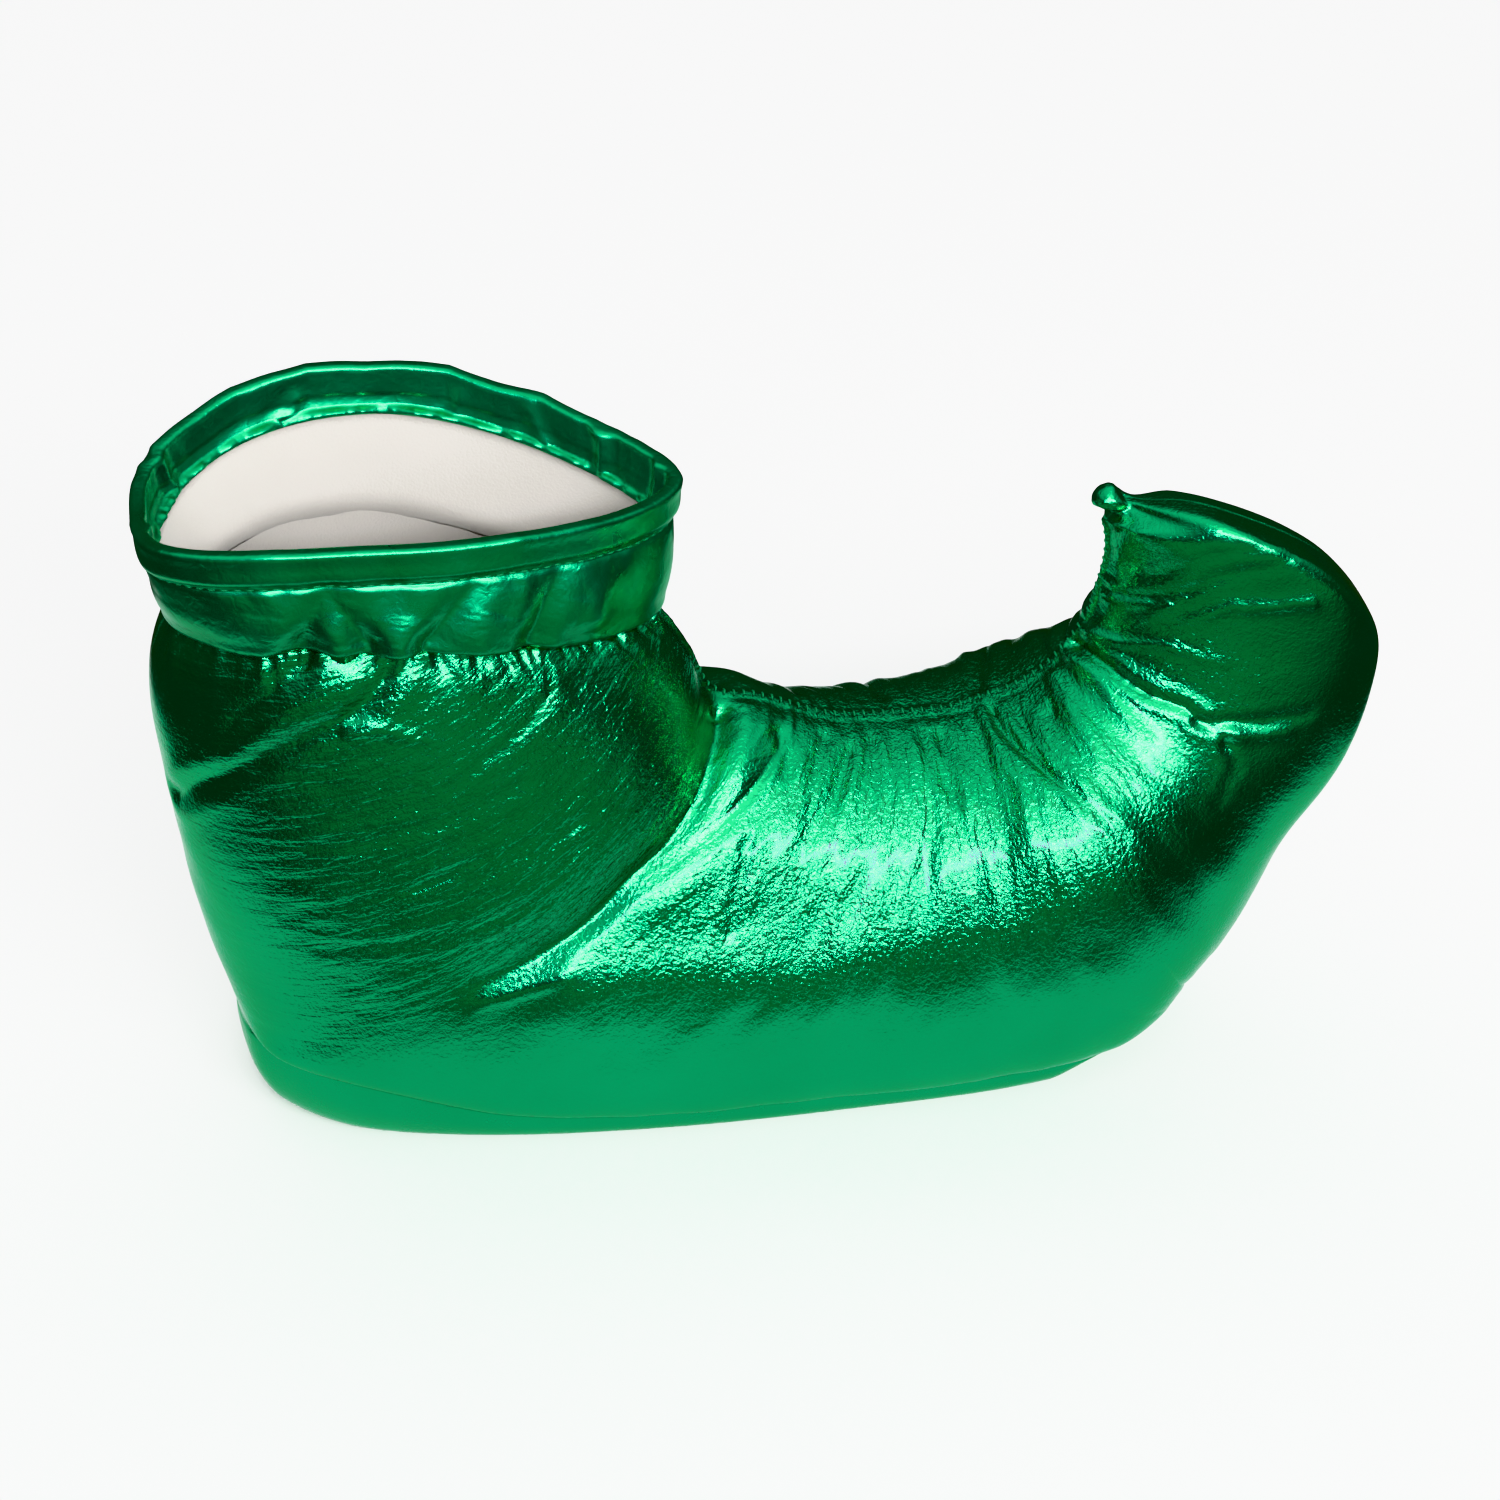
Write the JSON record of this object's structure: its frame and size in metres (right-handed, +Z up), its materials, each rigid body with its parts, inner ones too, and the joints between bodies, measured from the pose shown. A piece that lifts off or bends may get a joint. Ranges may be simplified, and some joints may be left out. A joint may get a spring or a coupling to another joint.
{
  "type": "elf shoe",
  "caption": "Padded metallic-green cloth elf bootee with a toe that curls up to a point, a gathered collar band with a turned hem, and a soft flat sole.",
  "frame": {"origin": "on the floor plane under the middle of the shoe's bounding box, on the flat underside of the sole", "axes": "+X from heel to toe, +Z up; +Y toward the side to which the collar bows out more, -Y toward its flatter side"},
  "size_m": [0.3458, 0.108, 0.2064],
  "materials": {
    "foil_cloth": "metallic foil cloth",
    "band_cloth": "metallic foil cloth",
    "sole_cloth": "metallic foil cloth",
    "insole_felt": "matte felt"
  },
  "bodies": {
    "root": {"upper": "foil_cloth", "collar_band": "band_cloth", "outsole": "sole_cloth", "insole": "insole_felt"}
  },
  "joints": []
}
